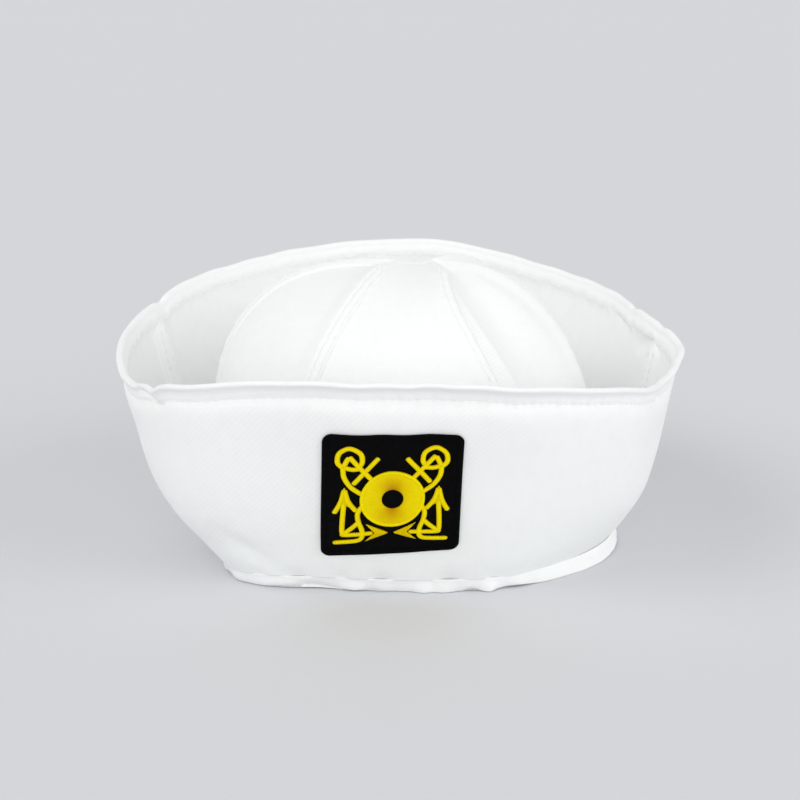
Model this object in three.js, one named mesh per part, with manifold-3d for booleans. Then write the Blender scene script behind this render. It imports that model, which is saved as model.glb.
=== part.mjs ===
// A sailor cap of white twill: a crown of six gores, a turned-up brim in two panels, a gathered head band
// and an embroidered badge. Millimetres, +Z up. The front faces -Y, and the cap stands on z = 0.
import * as THREE from 'three';
import { mergeVertices } from 'three/addons/utils/BufferGeometryUtils.js';
import Module from 'manifold-3d';

// Cloth and sewing
const CLOTH = 1.2; // wall of the crown's and the band's twill
const BRIM_CLOTH = 1.5; // wall of the brim, two plies of twill
const GAP = 0.3; // clearance between pieces that are sewn together
const LAP = 5; // width of a felled seam, where one piece laps the next
const LAP_GAP = 0.4; // clearance under a crown seam's lap
const STEP = 1.2; // run over which a lapping edge climbs on to its neighbour

// Head band: a rolled lip under the crown and brim, and a thin wall inside the crown
const LIP_HEIGHT = 5.5;
const LIP_PROUD = 1.4; // how far the lip stands out from the brim's foot
const LIP_ROUND = 1.3;
const BAND_CLIMB = 0.1; // how far the band's wall goes up the crown, as a share of the way to its pole
const BAND_GAP = 1.1; // clearance of that wall from the crown, whose facets cut in at the corners
const BAND_COLUMNS = 120;
const GATHERS = 30; // ruffles round the lip
const GATHER_DEPTH = 0.9;
const SEAM_HEIGHT = LIP_HEIGHT + GAP; // where the crown and the brim are sewn to the band
const CROWN_INSET = 2 * BRIM_CLOTH + 2 * GAP + CLOTH; // from the brim's outer face to the crown's inner one

// Stations round the cap, each by its direction in degrees from the front towards +X.
// seam: reach of the brim's outer face at its foot. rim: reach of its top edge. height: that edge's height.
// belly: how far the brim's wall bulges past a straight flare. crown: reach of the crown above the head seam.
// dome: power of the crown's profile, where 2 is an ellipse and more is squarer.
const STATIONS = [
  { at: 'front', angle: 0, seam: 90, rim: 117.5, height: 94.5, belly: 0.45, crown: 92.5, dome: 2.4 },
  { at: 'right of the badge', angle: 22.5, seam: 93, rim: 125, height: 93.5, belly: 0.5, crown: 89, dome: 2.4 },
  { at: 'right corner', angle: 45, seam: 90.5, rim: 123, height: 87, belly: 0.75, crown: 84, dome: 2.4 },
  { at: 'ahead of the right', angle: 67.5, seam: 89.5, rim: 110.5, height: 80.5, belly: 1.15, crown: 81, dome: 2.4 },
  { at: 'right', angle: 90, seam: 89, rim: 116, height: 87, belly: 0.75, crown: 79.5, dome: 2.45 },
  { at: 'behind the right', angle: 112.5, seam: 88, rim: 115.5, height: 90, belly: 0.6, crown: 80.5, dome: 2.5 },
  { at: 'back right corner', angle: 135, seam: 95.5, rim: 130, height: 93, belly: 0.5, crown: 88, dome: 2.5 },
  { at: 'right of the back', angle: 157.5, seam: 104, rim: 146, height: 99.5, belly: 0.45, crown: 100, dome: 2.5 },
  { at: 'back', angle: 180, seam: 109, rim: 153.5, height: 105.5, belly: 0.42, crown: 105, dome: 2.5 },
  { at: 'left of the back', angle: 202.5, seam: 105, rim: 150, height: 104, belly: 0.42, crown: 101, dome: 2.5 },
  { at: 'back left corner', angle: 225, seam: 96.5, rim: 140.5, height: 100, belly: 0.45, crown: 92.5, dome: 2.6 },
  { at: 'behind the left', angle: 247.5, seam: 89, rim: 134.5, height: 92.5, belly: 0.5, crown: 89.5, dome: 2.9 },
  { at: 'left', angle: 270, seam: 88, rim: 132, height: 85.5, belly: 0.65, crown: 91, dome: 3.1 },
  { at: 'ahead of the left', angle: 292.5, seam: 91.5, rim: 129.5, height: 80, belly: 1.15, crown: 91, dome: 2.9 },
  { at: 'left corner', angle: 315, seam: 106, rim: 136.5, height: 88.5, belly: 0.85, crown: 91.5, dome: 2.6 },
  { at: 'left of the badge', angle: 337.5, seam: 93.5, rim: 125, height: 93, belly: 0.5, crown: 92.5, dome: 2.4 },
];

// Soft folds and hollows of the brim. angle and rise: where. across: spread in degrees. up: spread as a share of
// the wall's height. depth: how far the cloth goes in.
const BRIM_FOLDS = [
  { fold: 'crease over the left of the band', angle: -42, rise: 0.16, across: 12, up: 0.06, depth: 1.6 },
  { fold: 'hollow right of the badge', angle: 18, rise: 0.56, across: 8, up: 0.16, depth: 1.2 },
  { fold: 'hollow left of the badge', angle: -30, rise: 0.62, across: 7, up: 0.2, depth: 0.9 },
  { fold: 'dip in the left corner', angle: -58, rise: 0.9, across: 5, up: 0.12, depth: 2.4 },
  { fold: 'dip behind the right corner', angle: 82, rise: 0.92, across: 6, up: 0.2, depth: 1.8 },
];

// Rows up the brim. rise: share of the wall's height. proud: thickness that the turned hem adds to each face.
const BRIM_ROWS = [
  { row: 'foot', rise: 0, proud: 0 },
  { row: 'low', rise: 0.15, proud: 0 },
  { row: 'lower', rise: 0.32, proud: 0 },
  { row: 'middle', rise: 0.5, proud: 0 },
  { row: 'upper', rise: 0.68, proud: 0 },
  { row: 'under the hem', rise: 0.88, proud: 0 },
  { row: 'hem foot', rise: 0.905, proud: 0.6 },
  { row: 'hem', rise: 0.955, proud: 0.5 },
  { row: 'roll', rise: 0.985, proud: 0.9 },
  { row: 'edge', rise: 1, proud: 0.2 },
];
const BRIM_COLUMNS_PER_TURN = 76;

// The two seams between the brim's panels, by their direction in degrees at the hem and at the foot
const SIDE_SEAMS = {
  right: { hem: 104, foot: 101 },
  left: { hem: -117, foot: -104 },
};

// Crown, in six gores. angle: direction of a seam at the head band, in degrees. bow: how far it strays from that on
// the way up. tip: where it meets the seam across the top, to the left or right of the pole.
const CROWN_SEAMS = [
  { seam: 'front left', angle: -35.5, bow: 6.5, tip: -10 },
  { seam: 'front right', angle: 32, bow: -16, tip: 6 },
  { seam: 'right', angle: 80, bow: 0, tip: 6 },
  { seam: 'back right', angle: 145, bow: 0, tip: 6 },
  { seam: 'back left', angle: 212, bow: 0, tip: -10 },
  { seam: 'left', angle: 272, bow: 0, tip: -10 },
];
const CROWN_FOLD = { angle: 38, bow: -10, across: 5, depth: 2.2 }; // a crease beside the front right seam
const CROWN_HEIGHT = 115; // above the head seam, at the cloth's inner face
const POLE_BACK = 6; // how far the pole lies behind the head's axis
const POLE_REACH = 0.8; // the gores' points stop this far from the seam across the top
const GORE_COLUMNS = 8;
const GORE_ROWS = 12;
const GORE_FLAT = 1.2; // how far a gore lies inside the round of the dome, midway between its seams

// Badge, embroidered flat and sewn to the brim's front
const PATCH = { width: 55, height: 58, corner: 4.7, thick: 1.2, columns: 12, rows: 10 };
const BADGE_ANGLE = -6;
const BADGE_RISE = 0.47;
const THREAD = { rib: 0.95, sides: 6, thick: 1.4 }; // rib: half width of a line of satin stitch
const BUOY = { y: -2, reach: 8.4, half: 4.1, flat: 0.34 };
const ANCHOR_RING = { x: -15.4, y: 16.8, reach: 4.6 };

// Lines of the left half of the badge, each through named points across and up from its centre
const BADGE_LINES = [
  { line: 'stock', through: [[-14.6, 4.4], [-4.5, 16.6]], steps: 2 },
  { line: 'upper shank', through: [[-16.3, 14.7], [-6.3, 4.2]], steps: 2 },
  { line: 'lower shank', through: [[-6.3, -5.2], [-12.8, -11], [-18.9, -18.4]], steps: 4 },
  { line: 'arms', through: [[-17.1, -5.2], [-18.4, -12.6], [-18.9, -18.4], [-14.2, -19.2], [-7.4, -18.3]], steps: 8 },
  { line: 'cable', through: [[-19.3, 14.2], [-17.4, 6.3], [-14.6, 2.3], [-8.4, -0.5]], steps: 6 },
  { line: 'end of the cable', through: [[-8.9, -6.3], [-9.8, -11.6], [-10.9, -19.5], [-14.7, -22.1], [-22.4, -23.5]], steps: 7 },
];
const FLUKES = [
  { fluke: 'outer', tip: [-17.1, 1.8], barbs: [[-21.1, -9.2], [-17.2, -6.5], [-13.3, -7.9]] },
  { fluke: 'inner', tip: [-1.3, -18.2], barbs: [[-9.3, -14.4], [-7.6, -18.3], [-9.8, -22.2]] },
];

const radians = THREE.MathUtils.degToRad;
const degrees = THREE.MathUtils.radToDeg;
const mix = THREE.MathUtils.lerp;
const smooth = THREE.MathUtils.smoothstep;
const bell = (x) => Math.exp(-x * x);
const turnTo = (angle) => THREE.MathUtils.euclideanModulo(angle + 180, 360) - 180;

// The stations' columns as closed curves, so any direction between two stations can be read off
const closedCurve = (points) => new THREE.CatmullRomCurve3(points, true, 'catmullrom');
const brimCurve = closedCurve(STATIONS.map((s) => new THREE.Vector3(s.seam, s.rim, s.height)));
const bulgeCurve = closedCurve(STATIONS.map((s) => new THREE.Vector3(s.belly, s.crown, s.dome)));

function stationAt(angle) {
  const turn = THREE.MathUtils.euclideanModulo(angle / 360, 1);
  const { x: seam, y: rim, z: height } = brimCurve.getPoint(turn);
  const { x: belly, y: crown, z: dome } = bulgeCurve.getPoint(turn);
  return { seam, rim, height, belly, crown, dome };
}

// A point at a reach from the head's axis, in a direction from the front
function polar(angle, reach, z) {
  return new THREE.Vector3(reach * Math.sin(radians(angle)), -reach * Math.cos(radians(angle)), z);
}

function brimReach(angle, rise) {
  const { seam, rim, belly } = stationAt(angle);
  let reach = mix(seam, rim, rise + belly * rise * (1 - rise));
  for (const fold of BRIM_FOLDS) {
    const across = bell(turnTo(angle - fold.angle) / fold.across);
    reach -= fold.depth * across * bell((rise - fold.rise) / fold.up);
  }
  return reach;
}

// A point of the brim, at a distance out from its outer face
function brimPoint(angle, rise, out) {
  return polar(angle, brimReach(angle, rise) + out, mix(SEAM_HEIGHT, stationAt(angle).height, rise));
}

// The direction of a seam or fold of the crown, where climb is 0 at the head seam and 1 at the pole
function crownAngle({ angle, bow }, climb) {
  return angle + bow * Math.sin(Math.PI * climb ** 3);
}

// A point of the crown, at a lift above its inner face
function crownPoint(angle, climb, lift) {
  const { seam, crown, dome } = stationAt(angle);
  const slope = radians(90 * climb);
  const foot = seam - CROWN_INSET;
  const fromFold = turnTo(angle - crownAngle(CROWN_FOLD, climb));
  const crease = CROWN_FOLD.depth * bell(fromFold / CROWN_FOLD.across) * Math.sin(2 * slope);
  const reach = mix(foot, crown, smooth(climb, 0, 0.5)) + lift - crease;
  const rise = CROWN_HEIGHT + lift - crease;
  const share = Math.pow(Math.cos(slope) / reach, dome) + Math.pow(Math.sin(slope) / rise, dome);
  const span = Math.pow(share, -1 / dome);
  return polar(angle, span * Math.cos(slope), SEAM_HEIGHT + span * Math.sin(slope));
}

// A closed solid whose vertices are shared, with only their positions kept
function sealed(geometry) {
  geometry.deleteAttribute('normal');
  geometry.deleteAttribute('uv');
  return mergeVertices(geometry, 1e-4);
}

// Moves each vertex of a geometry to where place says
function bent(geometry, place) {
  const position = geometry.getAttribute('position');
  const point = new THREE.Vector3();
  for (let i = 0; i < position.count; i++) {
    const to = place(point.fromBufferAttribute(position, i));
    position.setXYZ(i, to.x, to.y, to.z);
  }
  return geometry;
}

// A cloth panel, cut flat as a thin grid and bent to shape. place gets the column and row numbers and the face,
// which is 0 for the inner face and 1 for the outer one.
function clothPanel(columns, rows, place) {
  const flat = new THREE.BoxGeometry(columns, rows, 1, columns, rows, 1).translate(columns / 2, rows / 2, 0.5);
  return sealed(bent(flat, ({ x, y, z }) => place(Math.round(x), Math.round(y), Math.round(z))));
}

const twill = new THREE.MeshStandardMaterial({ color: '#f2f2ef', roughness: 0.9, metalness: 0 });
const blackFelt = new THREE.MeshStandardMaterial({ color: '#0e0e11', roughness: 0.95, metalness: 0 });
const goldThread = new THREE.MeshStandardMaterial({ color: '#e2b21a', roughness: 0.45, metalness: 0 });

function piece(name, geometry, material) {
  const mesh = new THREE.Mesh(geometry, material);
  mesh.name = name;
  return mesh;
}

// Crown: each gore's far edge climbs on to the next gore and covers the seam
function goreGeometry(index) {
  const first = CROWN_SEAMS[index];
  const next = CROWN_SEAMS[(index + 1) % CROWN_SEAMS.length];
  const poleClimb = 1 - degrees(Math.atan(POLE_REACH / CROWN_HEIGHT)) / 90;
  const lapColumns = [
    { past: -GAP / 2 - STEP, lift: 0 },
    { past: -GAP / 2, lift: CLOTH + LAP_GAP },
    { past: LAP, lift: CLOTH + LAP_GAP },
  ];
  const columns = GORE_COLUMNS + lapColumns.length;
  return clothPanel(columns, GORE_ROWS, (column, row, face) => {
    const climb = poleClimb * Math.sin(radians(90 * (row / GORE_ROWS)));
    const from = crownAngle(first, climb);
    const width = THREE.MathUtils.euclideanModulo(crownAngle(next, climb) - from, 360);
    const girth = crownPoint(from, climb, 0);
    const degreesPerMm = Math.min(degrees(1 / Math.hypot(girth.x, girth.y)), width / (2 * LAP + STEP));
    const lap = lapColumns[column - GORE_COLUMNS - 1];
    const across = Math.min(column / GORE_COLUMNS, 1);
    const start = from + (GAP / 2) * degreesPerMm;
    const end = from + width - (GAP / 2 + 2 * STEP) * degreesPerMm;
    const angle = lap ? from + width + lap.past * degreesPerMm : mix(start, end, across);
    const sink = lap ? 0 : GORE_FLAT * Math.sin(Math.PI * across) * smooth(climb, BAND_CLIMB, 4 * BAND_CLIMB);
    const point = crownPoint(angle, climb, (lap ? lap.lift : 0) - sink + face * CLOTH);
    point.x += mix(first.tip, next.tip, across) * climb ** 3;
    point.y += POLE_BACK * climb ** 3;
    return point;
  });
}

// Brim: the back panel's two ends step inwards and lap the front panel's ends
function seamAngle({ hem, foot }, rise) {
  return mix(foot, hem, rise);
}

function brimPlace(angle, { rise, proud }, face, tuck) {
  const out = face ? proud : -BRIM_CLOTH - proud;
  return brimPoint(angle, rise, out - tuck);
}

function brimColumns(from, to) {
  return Math.round((BRIM_COLUMNS_PER_TURN * (to - from)) / 360);
}

function brimFrontGeometry() {
  const { left, right } = SIDE_SEAMS;
  const columns = brimColumns(left.hem, right.hem);
  return clothPanel(columns, BRIM_ROWS.length - 1, (column, row, face) => {
    const { rise } = BRIM_ROWS[row];
    const angle = mix(seamAngle(left, rise), seamAngle(right, rise), column / columns);
    return brimPlace(angle, BRIM_ROWS[row], face, 0);
  });
}

function brimBackGeometry() {
  const { left, right } = SIDE_SEAMS;
  const between = brimColumns(right.hem, left.hem + 360);
  const lapEnds = [
    { past: LAP, tucked: true },
    { past: -GAP, tucked: true },
    { past: -GAP - STEP, tucked: false },
  ];
  const columns = between + 2 * lapEnds.length;
  return clothPanel(columns, BRIM_ROWS.length - 1, (column, row, face) => {
    const { rise, proud } = BRIM_ROWS[row];
    const from = seamAngle(right, rise);
    const to = seamAngle(left, rise) + 360;
    const atRight = column < lapEnds.length;
    const end = lapEnds[atRight ? column : columns - column];
    const degreesPerMm = degrees(1 / brimReach(atRight ? from : to, rise));
    const inset = 2 * STEP * degrees(1 / brimReach(180, rise));
    const onPanel = mix(from + inset, to - inset, (column - lapEnds.length) / between);
    const onLap = atRight ? from - end?.past * degreesPerMm : to + end?.past * degreesPerMm;
    const tuck = end?.tucked ? BRIM_CLOTH + GAP + 2 * proud : 0;
    return brimPlace(end ? onLap : onPanel, BRIM_ROWS[row], face, tuck);
  });
}

// Head band: one closed profile turned round the head, its lip ruffled by the gathers
function bandGeometry() {
  const crownSide = -CROWN_INSET - BAND_GAP;
  const wallTop = 4 * LIP_HEIGHT; // above the lip, the crown sets where the wall goes
  const profile = [
    [crownSide - CLOTH, 0],
    [LIP_PROUD - LIP_ROUND, 0],
    [LIP_PROUD, LIP_ROUND],
    [LIP_PROUD, LIP_HEIGHT - LIP_ROUND],
    [LIP_PROUD - LIP_ROUND, LIP_HEIGHT],
    [crownSide, LIP_HEIGHT],
    [crownSide, wallTop],
    [crownSide - CLOTH, wallTop],
    [crownSide - CLOTH, 0],
  ];
  const nominal = 100; // radius that the profile is turned at before it is fitted to the head
  const turned = profile.map(([out, z]) => new THREE.Vector2(nominal + out, z));
  const ring = new THREE.LatheGeometry(turned, BAND_COLUMNS).rotateX(Math.PI / 2);
  return sealed(
    bent(ring, ({ x, y, z }) => {
      const angle = degrees(Math.atan2(x, -y));
      const out = Math.hypot(x, y) - nominal;
      const ruffle = out > 0 ? GATHER_DEPTH * Math.cos(radians(GATHERS * angle)) : 0;
      if (z > LIP_HEIGHT) return crownPoint(angle, BAND_CLIMB, out + CROWN_INSET);
      return polar(angle, stationAt(angle).seam + out + ruffle, z);
    }),
  );
}

// Badge: flat coordinates across and up from its centre, with a height above the brim's face
function badgePoint({ x, y, z }) {
  const wall = brimPoint(BADGE_ANGLE, 1, 0).distanceTo(brimPoint(BADGE_ANGLE, 0, 0));
  const rise = BADGE_RISE + y / wall;
  return brimPoint(BADGE_ANGLE + degrees(x / brimReach(BADGE_ANGLE, rise)), rise, z);
}

function patchGeometry() {
  const { width, height, corner, thick, columns, rows } = PATCH;
  const flat = new THREE.BoxGeometry(width, 2, thick, columns, rows, 1).translate(0, 0, GAP + thick / 2);
  const rounded = bent(flat, ({ x, y, z }) => {
    const up = (height / 2) * Math.sin(radians(90 * y));
    const past = Math.max(0, Math.abs(up) - height / 2 + corner);
    const half = width / 2 - corner + Math.sqrt(corner ** 2 - past ** 2);
    return new THREE.Vector3((x * half) / (width / 2), up, z);
  });
  return sealed(bent(rounded, badgePoint));
}

const wasm = await Module();
wasm.setup();

function solid(geometry) {
  const { index, attributes } = sealed(geometry);
  const vertProperties = new Float32Array(attributes.position.array);
  return new wasm.Manifold(new wasm.Mesh({ numProp: 3, vertProperties, triVerts: new Uint32Array(index.array) }));
}

// One satin-stitched line, as a rib along a curve
function threadLine({ through, steps }) {
  const { rib, sides } = THREAD;
  const corners = Array.from({ length: sides }, (_, i) => (2 * Math.PI * i) / sides);
  const section = new THREE.Shape(corners.map((a) => new THREE.Vector2(rib * Math.cos(a), rib * Math.sin(a))));
  const extrudePath = new THREE.CatmullRomCurve3(through.map(([x, y]) => new THREE.Vector3(x, y, rib)));
  return solid(new THREE.ExtrudeGeometry(section, { steps, extrudePath, bevelEnabled: false }));
}

function threadFluke({ tip, barbs }) {
  const outline = new THREE.Shape([tip, ...barbs].map(([x, y]) => new THREE.Vector2(x, y)));
  return solid(new THREE.ExtrudeGeometry(outline, { depth: THREAD.thick, bevelEnabled: false }));
}

function embroideryGeometry() {
  const ring = new THREE.TorusGeometry(ANCHOR_RING.reach, THREAD.rib, THREAD.sides, 12);
  const buoy = new THREE.TorusGeometry(BUOY.reach, BUOY.half, 6, 22).scale(1, 1, BUOY.flat);
  const leftHalf = wasm.Manifold.union([
    ...BADGE_LINES.map(threadLine),
    ...FLUKES.map(threadFluke),
    solid(ring.translate(ANCHOR_RING.x, ANCHOR_RING.y, THREAD.rib)),
  ]);
  const whole = wasm.Manifold.union([
    leftHalf,
    leftHalf.mirror([1, 0, 0]),
    solid(buoy.translate(0, BUOY.y, BUOY.half * BUOY.flat)),
  ]);
  const { vertProperties, triVerts } = whole.getMesh();
  const joined = new THREE.BufferGeometry();
  joined.setAttribute('position', new THREE.BufferAttribute(new Float32Array(vertProperties), 3));
  joined.setIndex(new THREE.BufferAttribute(new Uint32Array(triVerts), 1));
  return bent(joined.translate(0, 0, PATCH.thick + 2 * GAP), badgePoint);
}

const pieces = new THREE.Group();
CROWN_SEAMS.forEach((seam, i) => pieces.add(piece(`crown_gore_${i + 1}`, goreGeometry(i), twill)));
pieces.add(piece('brim_front', brimFrontGeometry(), twill));
pieces.add(piece('brim_back', brimBackGeometry(), twill));
pieces.add(piece('head_band', bandGeometry(), twill));
pieces.add(piece('badge_patch', patchGeometry(), blackFelt));
pieces.add(piece('badge_embroidery', embroideryGeometry(), goldThread));

// The origin is under the middle of the cap's box
const middle = new THREE.Box3().setFromObject(pieces).getCenter(new THREE.Vector3());
pieces.position.set(-middle.x, -middle.y, 0);
const cap = new THREE.Group();
cap.add(pieces);

export default cap;
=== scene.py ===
from functools import lru_cache
from math import atan2, ceil, cos, degrees, exp, hypot, pi, radians, sin, sqrt

import bmesh
import bpy
from mathutils import Matrix, Vector


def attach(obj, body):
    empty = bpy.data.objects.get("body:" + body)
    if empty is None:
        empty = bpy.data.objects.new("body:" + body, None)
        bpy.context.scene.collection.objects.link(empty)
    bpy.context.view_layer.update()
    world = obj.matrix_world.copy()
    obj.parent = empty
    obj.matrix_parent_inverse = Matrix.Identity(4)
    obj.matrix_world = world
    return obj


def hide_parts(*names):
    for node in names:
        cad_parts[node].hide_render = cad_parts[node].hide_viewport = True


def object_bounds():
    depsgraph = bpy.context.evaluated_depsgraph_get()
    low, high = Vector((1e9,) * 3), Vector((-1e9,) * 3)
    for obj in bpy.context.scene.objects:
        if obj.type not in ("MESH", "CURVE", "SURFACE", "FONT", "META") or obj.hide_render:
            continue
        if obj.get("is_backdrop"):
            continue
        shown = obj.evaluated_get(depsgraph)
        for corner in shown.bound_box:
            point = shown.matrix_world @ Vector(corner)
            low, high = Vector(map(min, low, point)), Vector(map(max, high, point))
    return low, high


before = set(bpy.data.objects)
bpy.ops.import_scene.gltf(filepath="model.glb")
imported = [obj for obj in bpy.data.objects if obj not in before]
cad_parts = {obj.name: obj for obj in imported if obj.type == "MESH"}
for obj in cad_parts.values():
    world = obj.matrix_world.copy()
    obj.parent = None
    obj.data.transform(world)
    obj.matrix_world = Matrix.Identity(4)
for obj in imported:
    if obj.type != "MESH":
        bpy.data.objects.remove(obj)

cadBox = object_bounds()  # the CAD model's box, before it is dressed
mm = 0.001

# The cap as it was cut, in mm. Angles are degrees from the front (-Y) towards +X.
capShape = {
    "headAxis": (8.13, -17.45),  # middle of the head, from the frame's origin
    "seamHeight": 5.8,  # where crown and brim are sewn to the band
    "crownInset": 4.8,  # from the brim's outer face in to the crown's inner one
    "crownHeight": 115,  # above that seam
    "poleBack": 6,  # how far the crown's top lies behind the head's axis
    # angle, brim's foot, rim, height of the rim, belly of the brim, crown, power of the crown's dome
    "stations": (
        (0, 90, 117.5, 95.3, 0.45, 92.5, 2.4),
        (22.5, 93, 125, 93.6, 0.5, 89, 2.4),
        (45, 90.5, 123, 86.4, 0.75, 84, 2.4),
        (67.5, 89.5, 113, 80, 1.1, 81, 2.4),
        (90, 89, 116, 84.5, 0.75, 79.5, 2.45),
        (112.5, 88, 115.5, 90, 0.6, 80.5, 2.5),
        (135, 95.5, 130, 93, 0.5, 88, 2.5),
        (157.5, 104, 146, 99.5, 0.45, 100, 2.5),
        (180, 109, 153.5, 106.9, 0.42, 105, 2.5),
        (202.5, 105, 150, 104, 0.42, 101, 2.5),
        (225, 96.5, 140.5, 100, 0.45, 92.5, 2.6),
        (247.5, 89, 134.5, 92.5, 0.5, 89.5, 2.9),
        (270, 88, 132, 84.3, 0.65, 91, 3.1),
        (292.5, 91.5, 129.5, 80, 1.15, 91, 2.9),
        (315, 106, 136.5, 90.7, 0.85, 91.5, 2.6),
        (337.5, 93.5, 125, 95.8, 0.5, 92.5, 2.4),
    ),
}


def mix(a, b, t):
    return a + (b - a) * t


def bell(x):
    return exp(-x * x)


def ease(x, low, high):
    t = min(max((x - low) / (high - low), 0), 1)
    return t * t * (3 - 2 * t)


def turnTo(angle):
    return (angle + 180) % 360 - 180


def roundEnd(distance, radius):  # thickness of a turned edge, as a share
    return sqrt(max(0, 1 - (1 - min(distance / radius, 1)) ** 2))


def between(a, b, c, d, t):  # on a smooth curve through four values, from the second to the third
    return b + t * (c - a + t * (2 * a - 5 * b + 4 * c - d + t * (3 * b - a - 3 * c + d))) / 2


@lru_cache(maxsize=None)
def stationAt(angle):  # smooth between the stations
    rows = capShape["stations"]
    place = angle % 360 / 360 * len(rows)
    step = int(place)
    t = place - step
    near = [rows[(step + k) % len(rows)][1:] for k in (-1, 0, 1, 2)]
    return [between(*values, t) for values in zip(*near)]


def around(angle, reach, z):  # a point in metres
    x, y = capShape["headAxis"]
    return Vector((x + reach * sin(radians(angle)), y - reach * cos(radians(angle)), z)) * mm


# Materials

def hexColour(code):  # sRGB hex to linear
    parts = [int(code[k : k + 2], 16) / 255 for k in (1, 3, 5)]
    return [p / 12.92 if p <= 0.04045 else ((p + 0.055) / 1.055) ** 2.4 for p in parts] + [1]


def addNode(tree, kind, links, **settings):  # sockets go by name, or by number where names repeat
    node = tree.nodes.new(kind)
    for name, value in settings.items():
        setattr(node, name, value)
    for socket, value in links.items():
        if isinstance(value, bpy.types.NodeSocket):
            tree.links.new(value, node.inputs[socket])
        else:
            node.inputs[socket].default_value = value
    return node


def newMaterial(name, **sockets):
    material = bpy.data.materials.new(name)
    material.use_nodes = True
    shader = material.node_tree.nodes["Principled BSDF"]
    for socket, value in sockets.items():
        shader.inputs[socket.replace("_", " ")].default_value = value
    return material, material.node_tree, shader


def waveScale(spacing):  # scale of a Wave Texture whose bands are this far apart
    return 2 * pi / (20 * spacing)


# White cotton twill, woven in diagonal ribs and pressed: matt, bright, with a soft fuzz at grazing angles
twill = {
    "light": "#FAFCFB",
    "shade": "#F5F7F6",
    "groove": "#E0E3E2",
    "grooveShare": 0.17,  # painted shade: how much of the darker groove colour shows between two ribs
    "ribSpacing": 1.15,  # mm; the real ribs are 0.5 mm apart, too fine for the picture
    "ribLean": 62,  # degrees from the weft
    "ribShare": 0.72,  # of the weave's relief; the yarns have the rest
    "yarnSpacing": 0.9,  # mm, drawn coarse for the same reason
    "relief": 0.14,  # mm from groove to rib
    "crumple": 16,  # mm across a soft pressing crease
    "crumpleDepth": 0.9,  # mm
}


def makeTwill():
    material, tree, shader = newMaterial(
        "white cotton twill", Roughness=0.88, Specular_IOR_Level=0.25,
        Sheen_Weight=0.12, Sheen_Roughness=0.45)
    cut = addNode(tree, "ShaderNodeUVMap", {}, uv_map="cut")  # flat pattern, in mm
    place = addNode(tree, "ShaderNodeTexCoord", {})
    lean = addNode(tree, "ShaderNodeMapping", {
        "Vector": cut.outputs[0], "Rotation": (0, 0, radians(twill["ribLean"]))})
    drift = addNode(tree, "ShaderNodeTexNoise", {"Vector": cut.outputs[0], "Scale": 0.22, "Detail": 2})
    ribs = addNode(tree, "ShaderNodeTexWave", {
        "Vector": lean.outputs[0], "Scale": waveScale(twill["ribSpacing"]),
        "Distortion": 1.1, "Detail": 2, "Detail Scale": 1.2})
    yarns = addNode(tree, "ShaderNodeTexWave", {
        "Vector": cut.outputs[0], "Scale": waveScale(twill["yarnSpacing"]), "Distortion": 1.2, "Detail": 1})
    ribPart = addNode(tree, "ShaderNodeMath", {
        0: ribs.outputs["Fac"], 1: twill["ribShare"]}, operation="MULTIPLY")
    weave = addNode(tree, "ShaderNodeMath", {
        0: yarns.outputs["Fac"], 1: 1 - twill["ribShare"], 2: ribPart.outputs[0]}, operation="MULTIPLY_ADD")
    cloth = addNode(tree, "ShaderNodeMix", {
        "Factor": drift.outputs["Fac"],
        6: hexColour(twill["shade"]), 7: hexColour(twill["light"])}, data_type="RGBA")
    # painted shade: where the weave's relief is low, between the ribs, the colour darkens towards the groove
    # colour
    deep = addNode(tree, "ShaderNodeMapRange", {
        "Value": weave.outputs[0], 1: 0.0, 2: 0.45, 3: twill["grooveShare"], 4: 0.0})
    colour = addNode(tree, "ShaderNodeMix", {
        "Factor": deep.outputs[0], 6: cloth.outputs[2], 7: hexColour(twill["groove"])}, data_type="RGBA")
    tree.links.new(colour.outputs[2], shader.inputs["Base Color"])
    soft = addNode(tree, "ShaderNodeTexNoise", {
        "Vector": place.outputs["Object"], "Scale": 1 / (twill["crumple"] * mm),
        "Detail": 3, "Roughness": 0.45})
    crease = addNode(tree, "ShaderNodeBump", {
        "Height": soft.outputs["Fac"], "Strength": 0.3, "Distance": twill["crumpleDepth"] * mm})
    bump = addNode(tree, "ShaderNodeBump", {
        "Height": weave.outputs[0], "Strength": 0.2, "Distance": twill["relief"] * mm,
        "Normal": crease.outputs[0]})
    tree.links.new(bump.outputs[0], shader.inputs["Normal"])
    return material


# White polyester sewing thread, twisted in two plies: a little smoother and brighter than the cloth
sewing = {
    "light": "#FDFDFB",
    "shade": "#ECECEA",
    "ply": 0.5,  # mm along the thread from ply to ply
}


def makeSewingThread():
    material, tree, shader = newMaterial("white sewing thread", Roughness=0.55, Sheen_Weight=0.1)
    place = addNode(tree, "ShaderNodeTexCoord", {})
    fibre = addNode(tree, "ShaderNodeTexNoise", {
        "Vector": place.outputs["Object"], "Scale": 1 / (sewing["ply"] * mm), "Detail": 2})
    colour = addNode(tree, "ShaderNodeMix", {
        "Factor": fibre.outputs["Fac"],
        6: hexColour(sewing["shade"]), 7: hexColour(sewing["light"])}, data_type="RGBA")
    tree.links.new(colour.outputs[2], shader.inputs["Base Color"])
    bump = addNode(tree, "ShaderNodeBump", {
        "Height": fibre.outputs["Fac"], "Strength": 0.3, "Distance": 0.05 * mm})
    tree.links.new(bump.outputs[0], shader.inputs["Normal"])
    return material


# Black badge cloth, a dense cotton twill dyed black: almost no light comes back, with lint and a faint
# painted sheen on its ribs
blackTwill = {
    "deep": "#030304",
    "lintAndSheen": "#141416",
    "ribSpacing": 0.95,  # mm, drawn coarse to show
    "ribLean": 45,  # degrees
}


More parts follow.
